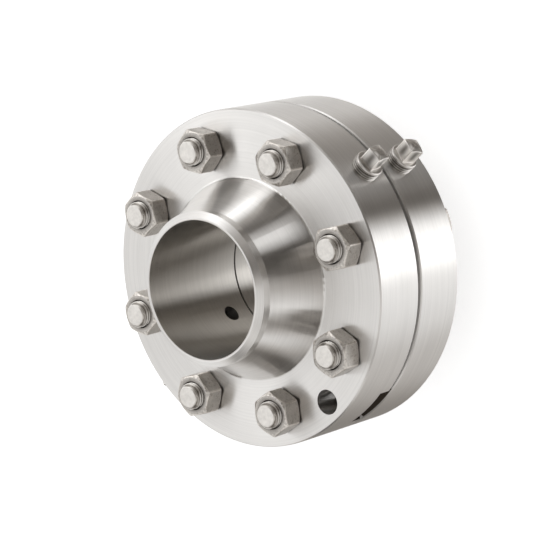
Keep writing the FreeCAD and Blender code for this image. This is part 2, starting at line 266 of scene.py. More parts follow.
def merged_mesh(name, points, faces, own=None, root=None):
    """A mesh of quads whose coincident points are merged, smooth. Where they are given, each point's
    place in the piece's own frame is kept as the attribute own, and its painted shade or glint as root:
    1 at the root of a thread, 0 on plain steel, -1 on an edge with a painted glint."""
    mesh = bpy.data.meshes.new(name)
    mesh.from_pydata(points.tolist(), [], faces.tolist())
    if own is not None:
        attribute = mesh.attributes.new("own", "FLOAT_VECTOR", "POINT")
        attribute.data.foreach_set("vector", np.ascontiguousarray(own, dtype=np.float32).ravel())
    if root is not None:
        attribute = mesh.attributes.new("root", "FLOAT", "POINT")
        attribute.data.foreach_set("value", np.ascontiguousarray(root, dtype=np.float32))
    work = bmesh.new()
    work.from_mesh(mesh)
    bmesh.ops.remove_doubles(work, verts=work.verts, dist=2e-6)
    work.to_mesh(mesh)
    work.free()
    mesh.polygons.foreach_set("use_smooth", np.ones(len(mesh.polygons), dtype=bool))
    return mesh


def new_piece(name, mesh, nodes, material):
    """An object for a mesh, riding on the body in place of its CAD nodes."""
    piece = bpy.data.objects.new(name, mesh)
    bpy.context.scene.collection.objects.link(piece)
    mesh.materials.append(material)
    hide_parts(*nodes)
    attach(piece, BODY)
    return piece


def ring_faces(rows, columns, first=0, shift=0):
    """Quads between neighbouring rows of a grid whose rows run over the profile and whose columns go
    round the axis and close. With a shift, the last column joins the first one that many rows further
    on, as a screw's does."""
    grid = np.arange(rows * columns).reshape(rows, columns) + first
    body = np.stack([grid[:-1, :-1], grid[:-1, 1:], grid[1:, 1:], grid[1:, :-1]], -1).reshape(-1, 4)
    last = grid[:rows - shift, -1]
    start = grid[shift:, 0]
    seam = np.stack([last[:-1], start[:-1], start[1:], last[1:]], -1)
    return np.concatenate([body, seam])


def rounded_profile(radius, height, rounding, closed, steps=4):
    """A profile through corners, each replaced by a short curve.

    radius and height hold one row for each corner and one column for each angle. Every corner C with
    neighbours P and Q becomes the quadratic curve (1-t)^2 A + 2t(1-t) C + t^2 B, where A and B lie
    towards P and Q by the rounding or SIDE_SHARE of the side, whichever is less. One more point just
    outside A and B, GUARD_REACH times as far, keeps the flats flat under smooth shading."""
    corners = np.stack([radius, height], -1)
    before = np.roll(corners, 1, 0) - corners
    after = np.roll(corners, -1, 0) - corners
    reach = []
    for side in (before, after):
        length = np.linalg.norm(side, axis=-1)
        cut = np.minimum(np.asarray(rounding)[:, None], SIDE_SHARE * length)
        unit = side / np.maximum(length, 1e-9)[..., None]
        reach.append((unit, cut))
    (near_way, near_cut), (far_way, far_cut) = reach
    t = np.linspace(0, 1, steps)[None, :, None, None]
    near = (corners + near_way * near_cut[..., None])[:, None]
    far = (corners + far_way * far_cut[..., None])[:, None]
    curve = (1 - t) ** 2 * near + 2 * t * (1 - t) * corners[:, None] + t ** 2 * far
    guard_near = (corners + near_way * (GUARD_REACH * near_cut)[..., None])[:, None]
    guard_far = (corners + far_way * (GUARD_REACH * far_cut)[..., None])[:, None]
    rows = np.concatenate([guard_near, curve, guard_far], 1).reshape(-1, corners.shape[1], 2)
    if closed:
        rows = np.concatenate([rows, rows[:1]])
    else:
        guard = steps + 2
        rows = np.concatenate([corners[:1], rows[guard:-guard], corners[-1:]])
    return rows[..., 0], rows[..., 1]


def even_polygon(angle, sides, apothem, sharpness):
    """Radius of a regular polygon with softened corners at an angle: the apothem over the root mean
    of the flats' cosines, each raised to the sharpness. A corner lies at angle 0."""
    middles = (np.arange(sides) + 0.5) * TURN / sides
    cosines = np.maximum(np.cos(angle[:, None] - middles[None, :]), 0)
    return apothem * (cosines ** sharpness).sum(1) ** (-1 / sharpness)


def corner_angles(sides, columns):
    """Angles round a polygon, closest together at its corners: within each sector the angle goes with
    the sign of u times its size to the power 1.5, for u evenly from -1 to 1."""
    per_side = columns // sides
    u = np.arange(per_side) / per_side * 2 - 1
    sector = np.sign(u) * np.abs(u) ** 1.5 * (math.pi / sides)
    return (np.arange(sides)[:, None] * TURN / sides + sector[None, :]).ravel()


def turned(radius, height, angle):
    """Points of a surface of radius and height over profile rows and angles."""
    return np.stack([radius * np.cos(angle), radius * np.sin(angle),
                     np.broadcast_to(height, radius.shape)], -1)


def thread_surface(crest, taper, depth, pitch, low, high, chamfer, columns):
    """A screw thread closed by flat ends, as points, faces and each point's share of the depth.

    The height is v plus the pitch times the angle over a full turn, so the grid's rows run along the
    helix. The radius is the crest radius plus taper times height, less the depth times a trapezoid
    wave of v: 0 on the crest, 1 at the root, straight between. Heights are clipped to the ends,
    where a 45 degree chamfer limits the radius."""
    wave_at = np.array([0, 0.05, 0.13, 0.16, 0.44, 0.50, 0.64, 0.70])
    wave = np.array([0, 0, 0.03, 0.12, 0.90, 1.0, 1.0, 0.90])
    per_turn = len(wave_at)
    angle = np.arange(columns) / columns * TURN
    turns = math.ceil((high - low) / pitch) + 3
    v = (np.arange(turns)[:, None] + wave_at[None, :]).ravel() * pitch + low - pitch
    drop = np.tile(wave, turns) * depth
    height = v[:, None] + pitch * angle[None, :] / TURN
    clipped = np.clip(height, low, high)
    cone = crest + taper * clipped
    end_radius = cone - chamfer
    limit = end_radius + np.minimum(clipped - low, high - clipped)
    radius = np.minimum(cone - drop[:, None], limit)
    radius = np.where(height == clipped, radius, end_radius)
    body = turned(radius, clipped, angle)
    inwards = np.array([0.0, 0.3, 0.6, 0.85, 0.97])
    low_cap = turned(inwards[:, None] * end_radius[0][None, :], low, angle)
    high_cap = turned(inwards[::-1, None] * end_radius[-1][None, :], high, angle)
    rows = len(v)
    points = np.concatenate([low_cap.reshape(-1, 3), body.reshape(-1, 3), high_cap.reshape(-1, 3)])
    caps = len(inwards)
    share = np.where((height == clipped) & (limit > cone - depth), (cone - radius) / depth, 0)
    root = np.concatenate([np.zeros(caps * columns), share.ravel(), np.zeros(caps * columns)])
    body_start = caps * columns
    top_start = body_start + rows * columns
    faces = np.concatenate([
        ring_faces(caps + 1, columns),
        ring_faces(rows, columns, body_start, per_turn),
        ring_faces(caps + 1, columns, top_start - columns),
    ])
    return points, faces, root


def revolved_surface(radius, height, angle):
    """Points and faces of a closed surface from profile rows that start and end on the axis, or
    join up."""
    points = turned(radius, height, angle)
    return points.reshape(-1, 3), ring_faces(radius.shape[0], radius.shape[1])


def node_points(node):
    """The vertices of a CAD node, as an array."""
    mesh = NODES[node].data
    points = np.empty(len(mesh.vertices) * 3, dtype=np.float32)
    mesh.vertices.foreach_get("co", points)
    return points.reshape(-1, 3).astype(float)


def corner_turn(across, along, sides):
    """The angle of the farthest point from the axis, within one side of a polygon."""
    farthest = np.argmax(np.hypot(across, along))
    return math.atan2(along[farthest], across[farthest]) % (TURN / sides)


class Finish:
    """A material in the making. Each method adds nodes and gives the last one's output."""

    def __init__(self, name, colour, roughness, metallic=1.0):
        self.material = bpy.data.materials.new(name)
        self.material.use_nodes = True
        self.tree = self.material.node_tree
        self.surface = self.tree.nodes["Principled BSDF"]
        self.surface.inputs["Metallic"].default_value = metallic
        self.surface.inputs["Base Color"].default_value = (*colour, 1)
        self.surface.inputs["Roughness"].default_value = roughness
        self.colour = colour

    def node(self, kind, inputs, output=0, **options):
        """A node of a kind with its options set and each input filled or linked."""
        made = self.tree.nodes.new(kind)
        for option, value in options.items():
            setattr(made, option, value)
        for socket, value in inputs.items():
            if isinstance(value, bpy.types.NodeSocket):
                self.tree.links.new(value, made.inputs[socket])
            else:
                made.inputs[socket].default_value = value
        return made.outputs[output]

    def calculate(self, operation, first, second=0.0):
        """A Math node."""
        return self.node("ShaderNodeMath", {0: first, 1: second}, operation=operation)

    def vector(self, operation, first, second=(0, 0, 0), output=0):
        """A Vector Math node."""
        return self.node("ShaderNodeVectorMath", {0: first, 1: second}, output, operation=operation)

    def scaled(self, value, low, high, to_low, to_high):
        """A value moved from one range to another and held inside it."""
        return self.node("ShaderNodeMapRange", {
            "Value": value, "From Min": low, "From Max": high,
            "To Min": to_low, "To Max": to_high})

    def blend(self, first, second, share):
        """Two patterns added up, the second by a share and the first by the rest."""
        return self.calculate("ADD", self.calculate("MULTIPLY", first, 1 - share),
                              self.calculate("MULTIPLY", second, share))

    def along(self, place, axis):
        """How far a place lies along an axis."""
        return self.vector("DOT_PRODUCT", place, axis, 1)

    def distance(self, place):
        """How far a place lies from the Z axis."""
        return self.vector("LENGTH", self.vector("MULTIPLY", place, (1, 1, 0)), output=1)

    def place(self):
        """Position in the object's frame, in metres."""
        return self.node("ShaderNodeTexCoord", {}, "Object")

    def own_place(self):
        """Position in the piece's own frame, from its attribute."""
        return self.node("ShaderNodeAttribute", {}, "Vector", attribute_name="own")

    def noise(self, place, scale, detail=2.0, roughness=0.5):
        """Soft random spots, scale of them to the metre."""
        return self.node("ShaderNodeTexNoise", {
            "Vector": place, "Scale": scale, "Detail": detail, "Roughness": roughness})

    def turning_lines(self, place, fineness, length):
        """Fine lines round the Z axis: four-dimensional noise of the direction from the axis, the
        height and the distance from the axis, where the last two count many times as much."""
        flat = self.vector("MULTIPLY", place, (1, 1, 0))
        distance = self.vector("LENGTH", flat, output=1)
        direction = self.vector("NORMALIZE", flat)
        rounds = self.vector("MULTIPLY", direction, (length, length, 0))
        lift = self.vector("MULTIPLY", place, (0, 0, fineness))
        spot = self.vector("ADD", rounds, lift)
        across = self.calculate("MULTIPLY", distance, fineness)
        return self.node("ShaderNodeTexNoise", {
            "Vector": spot, "W": across, "Scale": 1.0, "Detail": 1.0, "Roughness": 0.5},
            noise_dimensions="4D")

    def band(self, share, stops):
        """Levels eased between stops that are given by bearings from -180 to 180."""
        ramp = self.node("ShaderNodeValToRGB", {"Fac": share}).node
        ramp.color_ramp.interpolation = "EASE"
        elements = ramp.color_ramp.elements
        elements.remove(elements[1])
        for bearing, level in stops:
            element = elements.new((bearing + 180) / 360) if bearing > -180 else elements[0]
            element.color = (level, level, level, 1)
        elements[0].position = 0
        return ramp.outputs[0]

    def shade(self, pattern, spread):
        """The base colour made lighter and darker by a pattern, by the spread each way."""
        level = self.scaled(pattern, 0.25, 0.75, 1 - spread, 1 + spread)
        tint = self.vector("SCALE", tuple(self.colour))
        self.tree.links.new(level, tint.node.inputs["Scale"])
        self.tree.links.new(tint, self.surface.inputs["Base Color"])

    def tint(self, share, colour):
        """The colour is multiplied by another one, by a share."""
        base = self.surface.inputs["Base Color"]
        mixed = self.node("ShaderNodeMix", {0: share, 6: base.links[0].from_socket, 7: colour}, 2,
                          data_type="RGBA", blend_type="MULTIPLY")
        self.tree.links.new(mixed, base)

    def paint_shade_and_glints(self, least):
        """Painted shade and glints: the colour falls to the least share of itself at the bottom of a
        thread and wherever root is high, and rises on an edge where root is -1."""
        depth = self.node("ShaderNodeAttribute", {}, "Fac", attribute_name="root")
        self.tint(self.scaled(depth, 0.1, 1.0, 0.0, 1.0), (least, least * 0.9, least * 0.8, 1))
        self.tint(self.scaled(depth, -1.0, 0.0, 1.0, 0.0), (1.45, 1.45, 1.45, 1))

    def dull(self, pattern, low, high):
        """Roughness from low to high by a pattern."""
        self.tree.links.new(self.scaled(pattern, 0.25, 0.75, low, high),
                            self.surface.inputs["Roughness"])

    def roughen(self, share, amount):
        """The roughness rises by an amount, by a share."""
        rough = self.surface.inputs["Roughness"]
        more = self.calculate("MULTIPLY", share, amount)
        self.tree.links.new(self.calculate("ADD", rough.links[0].from_socket, more), rough)

    def relief(self, pattern, depth, strength=1.0):
        """Bumps of a depth in metres, over any that are there already."""
        inputs = {"Height": pattern, "Distance": depth, "Strength": strength}
        normal = self.surface.inputs["Normal"]
        if normal.is_linked:
            inputs["Normal"] = normal.links[0].from_socket
        self.tree.links.new(self.node("ShaderNodeBump", inputs), normal)

    def brush(self, place, amount, axis=(0, 0, 1)):
        """Highlights spread across lines that run round an axis: the tangent is the axis crossed
        with the place, and the spread is a quarter turn from it."""
        self.surface.inputs["Anisotropic"].default_value = amount
        self.surface.inputs["Anisotropic Rotation"].default_value = 0.25
        along = self.vector("CROSS_PRODUCT", axis, place)
        self.tree.links.new(self.vector("NORMALIZE", along), self.surface.inputs["Tangent"])


def flange_finish():
    """Turned stainless steel with fine lines round the pipe axis. The bore is darker, the jack-screw
    holes take painted shade that deepens inwards, the nut slots take painted shade, and the gap of the
    joint is rougher."""
    steel = settings("steel")
    finish = Finish("turned stainless steel", steel.flange_colour, steel.flange_roughness)
    place = finish.place()
    lines = finish.turning_lines(place, 800.0, 1.2)
    broad = finish.turning_lines(place, 90.0, 0.35)
    patches = finish.noise(place, 38.0, 3.0)
    finish.shade(finish.blend(lines, patches, 0.3), 0.07)

    distance = finish.distance(place)
    finish.tint(finish.scaled(distance, *BORE_EDGE, 1, 0), (0.79, 0.775, 0.75, 1))

    height = finish.along(place, (0, 0, 1))
    from_joint = finish.calculate("ABSOLUTE", finish.calculate("SUBTRACT", height, JOINT_HEIGHT))
    off_bore = finish.calculate("GREATER_THAN", distance, CLEAR_OF_BORE)
    inside = finish.calculate("MULTIPLY", finish.scaled(distance, *RIM_EDGE, 1, 0), off_bore)
    aside = finish.calculate("ABSOLUTE", finish.along(place, (1, 0, 0)))
    slot = finish.calculate("MAXIMUM", finish.calculate("LESS_THAN", aside, SLOT_HALF_WIDTH),
                            finish.calculate("GREATER_THAN", from_joint, GAP_REACH))
    slot = finish.calculate("MULTIPLY", slot, finish.scaled(from_joint, *SLOT_BOTTOM, 1, 0))
    # Painted shade in the nut slots, inside the rim near the joint.
    finish.tint(finish.calculate("MULTIPLY", inside, slot), (0.12, 0.1, 0.08, 1))

    # The hole of the lower flange lies on the +Y side and that of the upper one on the -Y side.
    side = finish.calculate("SIGN", finish.calculate("SUBTRACT", JOINT_HEIGHT, height))
    jack = finish.node("ShaderNodeCombineXYZ", {1: finish.calculate("MULTIPLY", side, JACK_PLACE)})
    from_jack = finish.distance(finish.vector("SUBTRACT", place, jack))
    in_jack = finish.calculate("LESS_THAN", from_jack, JACK_REACH)
    # Painted shade in the jack-screw holes, darkest towards the joint.
    jack_shade = finish.scaled(from_joint, *JACK_SHADE_SPAN, 0, 0.9)
    finish.tint(finish.calculate("MULTIPLY", in_jack, jack_shade), (0.1, 0.08, 0.06, 1))

    finish.dull(broad, steel.flange_roughness - 0.008, steel.flange_roughness + 0.015)
    in_gap = finish.calculate("LESS_THAN", from_joint, GAP_REACH)
    finish.roughen(finish.calculate("MULTIPLY", in_gap, off_bore), 0.22)
    finish.relief(patches, 0.0002, 0.1)
    finish.brush(finish.vector("SUBTRACT", place, finish.vector("MULTIPLY", jack, in_jack)), 0.92)
    return finish.material


def nut_finish():
    """Satin forged stainless steel with a slightly cast skin and darker pits."""
    steel = settings("steel")
    finish = Finish("forged stainless steel", steel.nut_colour, steel.nut_roughness)
    place = finish.place()
    grain = finish.noise(place, 900.0, 3.0)
    patches = finish.noise(place, 130.0, 3.0)
    finish.shade(finish.blend(patches, grain, 0.45), 0.28)
    pits = finish.noise(place, 520.0, 2.0, 0.7)
    finish.tint(finish.scaled(pits, 0.56, 0.66, 0, 0.55), (0.45, 0.41, 0.37, 1))
    # Painted shade in the countersink, painted shadow at the seat and painted glints on the edges.
    finish.paint_shade_and_glints(0.12)
    finish.dull(grain, steel.nut_roughness - 0.04, steel.nut_roughness + 0.08)
    finish.relief(grain, 0.0001, 0.6)
    finish.relief(patches, 0.0005, 0.35)
    return finish.material


def stud_finish():
    """Turned stainless steel with rings on the ends and painted shade at the thread roots."""
    steel = settings("steel")
    finish = Finish("threaded stainless steel", steel.stud_colour, steel.stud_roughness)
    place = finish.place()
    patches = finish.noise(place, 300.0, 3.0)
    finish.shade(patches, 0.12)
    # Painted shade at the thread roots.
    finish.paint_shade_and_glints(0.25)
    finish.dull(patches, steel.stud_roughness - 0.02, steel.stud_roughness + 0.08)
    distance = finish.distance(finish.own_place())
    rings = finish.calculate("SINE", finish.calculate("MULTIPLY", distance, TURN / RING_SPACING))
    finish.relief(rings, 0.00002, 0.6)
    finish.relief(patches, 0.0003, 0.3)
    return finish.material


def plug_finish():
    """Bright satin stainless steel with painted shade at the thread roots, on the head's flats and under
    the collar, and painted glints at the head's corners.
    """
    steel = settings("steel")
    finish = Finish("bright stainless steel", steel.plug_colour, steel.plug_roughness)
    place = finish.place()
    patches = finish.noise(place, 260.0, 3.0)
    finish.shade(patches, 0.06)
    # Painted shade at the thread roots, on the flats and under the collar, and painted glints at the
    # corners.
    finish.paint_shade_and_glints(0.12)
    finish.dull(patches, steel.plug_roughness - 0.02, steel.plug_roughness + 0.04)
    finish.relief(finish.noise(place, 700.0, 2.0), 0.00005, 0.4)
    return finish.material


def gasket_finish():
    """Dark compressed fibre sheet."""
    finish = Finish("compressed fibre sheet", settings("steel").gasket_colour, 0.8, metallic=0.0)
    place = finish.place()
    fibres = finish.noise(finish.vector("MULTIPLY", place, (1, 1, 4)), 1600.0, 4.0, 0.7)
    finish.shade(fibres, 0.35)
    finish.dull(fibres, 0.7, 0.9)
    finish.relief(fibres, 0.0001, 0.6)
    return finish.material


def dress_node(node, material):
    """A CAD node keeps its shape and takes a material."""
    mesh = NODES[node].data
    if not mesh.materials:
        mesh.materials.append(material)
    for index in range(len(mesh.materials)):
        mesh.materials[index] = material


class FLANGE_OT_flanges(Operator):
    """Give both flanges their turned steel."""

    bl_idname = "flange.flanges"
    bl_label = "Flanges"

    def execute(self, context):
        material = flange_finish()
        for node in ("upper_flange", "lower_flange"):
            dress_node(node, material)
        return {"FINISHED"}


class FLANGE_OT_gasket(Operator):
    """Give the ring gasket its fibre sheet."""

    bl_idname = "flange.gasket"
    bl_label = "Gasket"

    def execute(self, context):
        dress_node("ring_gasket", gasket_finish())
        return {"FINISHED"}


class FLANGE_OT_studs(Operator):
    """Cut the thread on every stud."""

    bl_idname = "flange.studs"
    bl_label = "Studs"

    def execute(self, context):
        bolting = settings("bolting")
        material = stud_finish()
        columns = settings("fineness").stud_columns
        for index in BOLTS:
            node = f"stud_{index}"
            low, high = (np.array(corner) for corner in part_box(node))
            centre = (low + high) / 2
            crest = (high[0] - low[0]) / 2
            # root gives the painted shade at the thread's roots.
            points, faces, root = thread_surface(
                crest, 0.0, bolting.stud_depth, bolting.stud_pitch, 0.0, high[2] - low[2],
                bolting.stud_chamfer, columns)
            place = points + np.array([centre[0], centre[1], low[2]])
            mesh = merged_mesh(f"threaded_stud_{index}", place, faces, points, root)
            new_piece(f"threaded_stud_{index}", mesh, [node], material)
        return {"FINISHED"}


class FLANGE_OT_nuts(Operator):
    """Round the edges and chamfer the faces of every nut."""

    bl_idname = "flange.nuts"
    bl_label = "Nuts"

    def execute(self, context):
        bolting = settings("bolting")
        material = nut_finish()
        angle = corner_angles(6, settings("fineness").head_columns)
        for side in ("upper", "lower"):
            for index in BOLTS:
                self.make_nut(bolting, side, index, angle, material)
        return {"FINISHED"}

    @staticmethod
    def make_nut(bolting, side, index, angle, material):
        """A hexagon limited by a cone at each face, bored and countersunk, with every edge rounded.
        Its axis is its stud's and its turn is read from the CAD node. The countersink takes painted
        shade, the chamfer at the seat a painted shadow, and the outer edges painted glints."""
        node, name = f"{side}_nut_{index}", f"{side}_hex_nut_{index}"
        low, high = (np.array(corner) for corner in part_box(node))
        points = node_points(node)
        middle = sum(np.array(corner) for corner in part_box(f"stud_{index}")) / 2
        across, along = points[:, 0] - middle[0], points[:, 1] - middle[1]
        turn = corner_turn(across, along, 6)
        flats = np.hypot(across, along).max() * math.cos(math.pi / 6)
        height = high[2] - low[2]
        hexagon = even_polygon(angle, 6, flats, HEXAGON_SHARPNESS)
        sink, bore, face = bolting.nut_countersink, bolting.nut_bore, bolting.nut_face
        drop = (hexagon - face) * math.tan(bolting.nut_chamfer_slope)
        same = np.ones_like(hexagon)
        radius = np.stack([bore * same, (bore + sink) * same, face * same, hexagon,
                           hexagon, face * same, (bore + sink) * same, bore * same])
        level = np.stack([sink * same, 0 * same, 0 * same, drop,
                          height - drop, height * same, height * same, (height - sink) * same])
        edge = bolting.edge_round
        rounding = [edge, edge / 2, edge, edge, edge, edge, edge / 2, edge]
        ring, rise = rounded_profile(radius, level, rounding, closed=True)
        own, faces = revolved_surface(ring, rise, angle)
        spun = own @ np.array([[math.cos(turn), math.sin(turn), 0],
                               [-math.sin(turn), math.cos(turn), 0], [0, 0, 1]])
        # Painted shade in the countersink.
        dark = np.clip((bore + sink + SINK_FADE - ring) / SINK_FADE, 0, 1)
        # Painted glints along the outer edges and at the corners.
        edge_rows = np.abs(rise - np.clip(rise, drop - edge, height - drop + edge)) < edge
        at_corner = np.cos(6 * angle) > 0.93
        glint_edge = (ring > face) & (edge_rows & (np.abs(rise - height / 2) > height / 2 - drop - edge)
                                | at_corner)
        # Painted shadow on the chamfer at the seat.
        from_seat = rise if side == "upper" else height - rise
        seat = (ring > face) & (from_seat < drop + edge)
        root = np.where(seat, NUT_SEAT_SHADE, np.where(glint_edge, PAINTED_GLINT, dark))
        place = spun + np.array([middle[0], middle[1], low[2]])
        mesh = merged_mesh(name, place, faces, root=root.ravel())
        new_piece(name, mesh, [node], material)


class FLANGE_OT_plugs(Operator):
    """Make every tap plug, with its thread, its collar and its square head."""

    bl_idname = "flange.plugs"
    bl_label = "Tap plugs"

    def execute(self, context):
        material = plug_finish()
        for flange in ("upper", "lower"):
            for index, side in ((1, 1), (2, -1)):
                self.make_plug(f"{flange}_tap_plug_{index}", f"{flange}_square_plug_{index}", side,
                               material)
        return {"FINISHED"}

    @staticmethod
    def make_plug(node, name, side, material):
        """A tapered thread under a turned collar, whose top runs into a square head that slopes down to
        its corners. The head's radius is a square's with softened corners. The flats take painted shade
        towards their middle by the squared sine of twice the angle from a corner, the collar's foot
        takes painted shade, and the corners take painted glints."""
        plug = settings("plugs")
        low, high = (np.array(corner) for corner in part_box(node))
        middle = (low + high) / 2
        end = high[0] if side > 0 else -low[0]
        base = end - plug.head_top
        points = node_points(node)
        out = side * points[:, 0] - base
        head = out > (plug.collar_top + plug.head_top) / 2
        across = -side * (points[head, 2] - middle[2])
        along = points[head, 1] - middle[1]
        turn = corner_turn(across, along, 4)

        end_chamfer, tuck = 0.001, 0.0003
        # root gives the painted shade at the thread's roots.
        shank, shank_faces, root = thread_surface(
            plug.shank, plug.taper, plug.depth, plug.pitch, -plug.engagement,
            plug.collar_foot + tuck, end_chamfer, settings("fineness").plug_columns)
        angle = corner_angles(4, settings("fineness").head_columns)
        square = even_polygon(angle, 4, plug.flats / 2, SQUARE_SHARPNESS)
        rim = (plug.shank + plug.taper * plug.collar_foot) * np.ones_like(square)
        start = plug.flats / 4
        corner = plug.flats / 2 * math.sqrt(2)
        drop = plug.crown * (square - start) / (corner - start)
        none = np.zeros_like(square)
        rise_steps = np.linspace(plug.collar_top, plug.head_top - plug.crown, 7)[1:-1, None] + none
        radius = np.stack([none, rim, rim, square, *(square for row in rise_steps), square,
                           start + none, none])
        level = np.stack([plug.collar_foot + none, plug.collar_foot + none, plug.collar_top + none,
                          plug.collar_top + none, *rise_steps, plug.head_top - drop,
                          plug.head_top + none, plug.head_top + none])
        foot_round, neck_round, edge_round, crown_round = 0.0003, 0.0005, 0.0006, 0.0012
        rounding = [0, foot_round, plug.collar_round, neck_round, *(0 for row in rise_steps),
                    edge_round, crown_round, 0]
        ring, rise = rounded_profile(radius, level, rounding, closed=False, steps=6)
        body, body_faces = revolved_surface(ring, rise, angle + turn)
        own = np.concatenate([shank, body])
        faces = np.concatenate([shank_faces, body_faces + len(shank)])
        place = np.stack([side * (base + own[:, 2]), middle[1] + own[:, 1],
                          middle[2] - side * own[:, 0]], -1)
        up_head = (rise - plug.collar_top) / (plug.head_top - plug.collar_top)
        mid_head = np.clip(1 - (up_head * 2 - 1) ** 4, 0, 1) * (rise > plug.collar_top)
        # Painted shade on the flats, darkest in the middle of each.
        flat = PLUG_FLAT_SHADE * np.sin(2 * angle) ** 2 * mid_head
        # Painted glints at the head's corners.
        glint_edge = (np.cos(4 * angle) > 0.975) & (rise > plug.collar_top + neck_round)
        # Painted shade at the collar's foot.
        collar_shade = rise < plug.collar_foot + 0.0004
        shade = np.where(glint_edge, PAINTED_GLINT, flat + PLUG_COLLAR_SHADE * collar_shade)
        root = np.concatenate([root, shade.ravel()])
        mesh = merged_mesh(name, place, faces, root=root)
        new_piece(name, mesh, [node], material)


# Brightness of the studio by direction in degrees about the Z axis. Each band of height starts to
# take over from the one below at its first share of the height and has done so at its second: a
# floor with a wide soft lamp near -40 and a dark corner at 0, narrow lamps level with the union, dark
# walls above them, a bright cornice and a pale ceiling.
STUDIO_FLOOR = (
    (-180, 0.22), (-162, 0.25), (-150, 0.36), (-126, 0.55), (-102, 0.78), (-78, 0.98), (-54, 1.25),
    (-42, 2.0), (-30, 1.95), (-20, 1.6), (-12, 0.8), (-6, 0.14), (6, 0.18), (18, 0.1), (30, 0.24),
    (54, 0.38), (78, 0.56), (102, 0.84), (126, 0.95), (150, 1.15), (161, 0.45), (172, 0.24),
    (180, 0.22),
)
STUDIO_BANDS = (
    (-0.42, -0.2, (
        (-180, 1.0), (-160, 1.0), (-145, 0.15), (-130, 0.15), (-107, 1.1), (-90, 0.35), (-69, 1.4),
        (-56, 0.9), (-42, 0.45), (-30, 0.2), (-18, 0.04), (-4, 0.03), (3, 1.5), (11, 2.45),
        (22, 1.5), (29, 0.08), (38, 0.03), (46, 0.3), (54, 1.6), (62, 2.6), (70, 0.9), (78, 0.08),
        (88, 0.05), (98, 1.0), (130, 1.1), (150, 0.9), (180, 1.0))),
    (0.02, 0.1, (
        (-180, 1.0), (-158, 0.9), (-140, 0.04), (-128, 0.1), (-108, 0.7), (-88, 0.1), (-66, 0.7),
        (-46, 0.35), (-28, 0.03), (0, 0.04), (30, 0.1), (50, 0.5), (62, 1.3), (90, 0.8), (130, 1.0),
        (150, 0.7), (180, 1.0))),
    (0.42, 0.58, (
        (-180, 0.93), (-120, 0.85), (-60, 0.7), (-34, 0.45), (8, 0.3), (28, 0.6), (45, 1.0),
        (60, 1.6), (90, 2.4), (118, 2.7), (142, 1.05), (180, 0.93))),
    (0.66, 0.76, (
        (-180, 0.95), (-80, 0.9), (-50, 0.9), (-34, 0.5), (-12, 0.1), (10, 0.2), (40, 0.3),
        (80, 0.45), (104, 1.15), (125, 1.15), (145, 1.0), (180, 0.95))),
)


def studio_material():
    """Light that only the metal mirrors. The bearing goes from 0 to 1 over a full turn and picks a
    brightness from each band, and the height blends the bands. Dim light is warmer."""
    finish = Finish("studio walls", (1, 1, 1), 1.0)
    finish.tree.nodes.clear()
    place = finish.vector("NORMALIZE", finish.place())
    x, y, height = (finish.along(place, axis) for axis in ((1, 0, 0), (0, 1, 0), (0, 0, 1)))
    bearing = finish.scaled(finish.calculate("ARCTAN2", y, x), -math.pi, math.pi, 0, 1)
    level = finish.band(bearing, STUDIO_FLOOR)
    for start, end, stops in STUDIO_BANDS:
        level = finish.node("ShaderNodeMix", {
            0: finish.scaled(height, start, end, 0, 1), 2: level, 3: finish.band(bearing, stops)})
    tint = finish.node("ShaderNodeMix", {
        0: level, 6: (1.0, 0.9, 0.8, 1), 7: (1, 1, 1, 1)}, 2, data_type="RGBA")
    glow = finish.node("ShaderNodeEmission", {"Color": tint, "Strength": level})
    finish.tree.links.new(glow, finish.tree.nodes.new("ShaderNodeOutputMaterial").inputs["Surface"])
    return finish.material


def seen_rays(nodes, links):
    """1 for rays that come from the camera, off a mirror or through glass, and 0 for the rest."""
    rays = nodes.new("ShaderNodeLightPath")
    seen = rays.outputs["Is Camera Ray"]
    for kind in ("Is Glossy Ray", "Is Transmission Ray"):
        either = nodes.new("ShaderNodeMath")
        either.operation = "MAXIMUM"
        links.new(seen, either.inputs[0])
        links.new(rays.outputs[kind], either.inputs[1])
        seen = either.outputs[0]
    return seen


def floor_material():
    """A white floor: half its light is its own to the camera and in mirrors, so it shows white and
    keeps the shadow."""
    material = bpy.data.materials.new("white floor")
    material.use_nodes = True
    tree = material.node_tree
    tree.nodes.clear()
    nodes, links = tree.nodes, tree.links
    glow = nodes.new("ShaderNodeEmission")
    glow.inputs["Strength"].default_value = 0.55
    matt = nodes.new("ShaderNodeBsdfDiffuse")
    matt.inputs["Color"].default_value = (0.8, 0.8, 0.8, 1)
    added = nodes.new("ShaderNodeAddShader")
    links.new(glow.outputs[0], added.inputs[0])
    links.new(matt.outputs[0], added.inputs[1])
    mix = nodes.new("ShaderNodeMixShader")
    links.new(seen_rays(nodes, links), mix.inputs[0])
    links.new(matt.outputs[0], mix.inputs[1])
    links.new(added.outputs[0], mix.inputs[2])
    output = nodes.new("ShaderNodeOutputMaterial")
    links.new(mix.outputs[0], output.inputs["Surface"])
    return material


def white_world(level):
    """A world that is white to the camera and in mirrors, and lights the rest at a level."""
    world = bpy.data.worlds.new("white surround")
    world.use_nodes = True
    tree = world.node_tree
    tree.nodes.clear()
    nodes, links = tree.nodes, tree.links
    strength = nodes.new("ShaderNodeMapRange")
    links.new(seen_rays(nodes, links), strength.inputs["Value"])
    strength.inputs["To Min"].default_value = level
    strength.inputs["To Max"].default_value = 1.0
    background = nodes.new("ShaderNodeBackground")
    background.inputs["Color"].default_value = (1, 1, 1, 1)
    links.new(strength.outputs[0], background.inputs["Strength"])
    output = nodes.new("ShaderNodeOutputWorld")
    links.new(background.outputs[0], output.inputs["Surface"])
    return world


